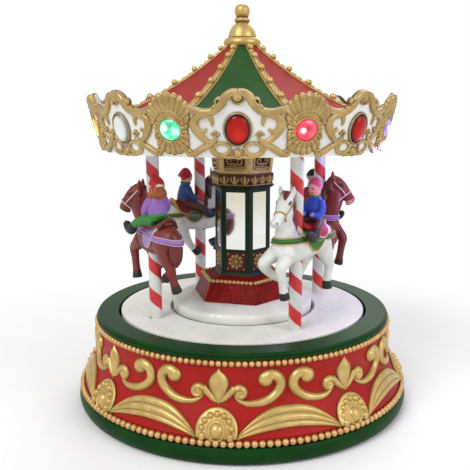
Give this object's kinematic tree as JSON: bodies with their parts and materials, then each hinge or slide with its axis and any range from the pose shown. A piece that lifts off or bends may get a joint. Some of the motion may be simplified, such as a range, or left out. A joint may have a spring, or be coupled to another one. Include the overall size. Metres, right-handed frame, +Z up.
{
  "type": "carousel music box",
  "caption": "Table-top carousel music box: horses with riders on striped poles turn round a mirrored column under a lit, shell-trimmed tent roof on a flared red drum.",
  "frame": {"origin": "on the floor under the centre of the base, at the underside of the rubber feet", "axes": "+Z up along the column; -Y is the front seen in the picture, +X its right"},
  "size_m": [0.2, 0.2, 0.2318],
  "materials": {
    "green_enamel": "smooth green enamel",
    "red_enamel": "satin red paint",
    "red_glitter": "red paint with fine glitter",
    "gold_paint": "antique gold paint, dark in the hollows",
    "white_resin": "white paint",
    "snow": "white with fine glitter, like snow",
    "maroon_paint": "dark red paint",
    "mirror": "silvered",
    "red_gem": "faceted clear red",
    "clear_gem": "clear",
    "lens_red": "tinted lens, lit from behind",
    "lens_green": "tinted lens, lit from behind",
    "lens_blue": "tinted lens, lit from behind",
    "lens_yellow": "tinted lens, lit from behind",
    "led_epoxy": "moulded clear resin",
    "striped_pole": "white with red spiral stripes",
    "white_horse": "hand-painted",
    "brown_horse": "hand-painted",
    "rider_paint": "hand-painted in several colours",
    "blanket_paint": "hand-painted",
    "black_rubber": "matt",
    "black_plastic": "matt",
    "nylon": "natural white",
    "steel": "bright",
    "brass": "turned",
    "circuit_board": "lacquered",
    "cell_wrap": "printed sleeve, left plain"
  },
  "bodies": {
    "base_body": {"base_drum": "red_enamel", "base_plinth": "green_enamel", "base_rim": "green_enamel", "lower_beads": "gold_paint", "upper_beads": "gold_paint", "drum_relief": "gold_paint", "bottom_cover": "black_plastic", "rubber_feet": "black_rubber", "cover_screws": "steel", "chassis": "black_plastic", "gear_motor": "steel", "idler_axle": "steel", "speaker": "black_plastic", "sound_board": "circuit_board", "battery_box": "black_plastic", "battery_cells": "cell_wrap", "switch_body": "black_plastic", "centre_post": "steel", "centre_disc": "snow", "column_plinth": "red_glitter", "plinth_beads": "gold_paint", "column_frame": "green_enamel", "column_mirrors": "mirror", "column_panels": "maroon_paint", "column_rosettes": "gold_paint", "capital_frieze": "maroon_paint", "capital_leaves": "gold_paint", "capital_cornice": "gold_paint", "ceiling_plate": "white_resin", "valance_panels": "white_resin", "valance_scrolls": "gold_paint", "corner_shells": "gold_paint", "jewels_red": "red_gem", "jewels_clear": "clear_gem", "lamp_lenses_red": "lens_red", "lamp_lenses_green": "lens_green", "lamp_lenses_blue": "lens_blue", "lamp_lenses_yellow": "lens_yellow", "canopy_leds": "led_epoxy", "roof_panels_green": "green_enamel", "roof_panels_red": "red_enamel", "roof_ribs": "gold_paint", "finial": "gold_paint"},
    "turntable_body": {"turntable": "snow", "drive_gear": "nylon", "hub_bush": "brass", "poles": "striped_pole", "saddle_blankets": "blanket_paint", "horse_front_right": "white_horse", "horse_back_left": "white_horse", "horse_back_right": "brown_horse", "horse_front_left": "brown_horse", "rider_front_right": "rider_paint", "rider_back_left": "rider_paint", "rider_back_right": "rider_paint", "rider_front_left": "rider_paint"},
    "idler_body": {"idler_gear": "nylon"},
    "motor_shaft_body": {"motor_pinion": "brass"},
    "battery_door_body": {"battery_door": "black_plastic"},
    "switch_knob_body": {"switch_knob": "black_plastic"}
  },
  "joints": [
    {"name": "carousel_spin", "type": "hinge", "parent": "base_body", "child": "turntable_body", "pos_m": [0, 0, 0.0543], "axis": [0, 0, 1], "continuous": true},
    {"name": "idler_spin", "type": "hinge", "parent": "base_body", "child": "idler_body", "pos_m": [0, -0.036, 0], "axis": [0, 0, 1], "continuous": true},
    {"name": "motor_spin", "type": "hinge", "parent": "base_body", "child": "motor_shaft_body", "pos_m": [-0.00821, -0.05855, 0], "axis": [0, 0, 1], "continuous": true},
    {"name": "battery_door_swing", "type": "hinge", "parent": "base_body", "child": "battery_door_body", "pos_m": [-0.0214, 0, 0.004], "axis": [0, -1, 0], "range_deg": [0, 100]},
    {"name": "power_switch_slide", "type": "slide", "parent": "base_body", "child": "switch_knob_body", "axis": [1, 0, 0], "range_m": [0, 0.004]}
  ],
  "couplings": [
    {"joint": "idler_spin", "follows": "carousel_spin", "ratio": -5},
    {"joint": "motor_spin", "follows": "carousel_spin", "ratio": 15}
  ]
}
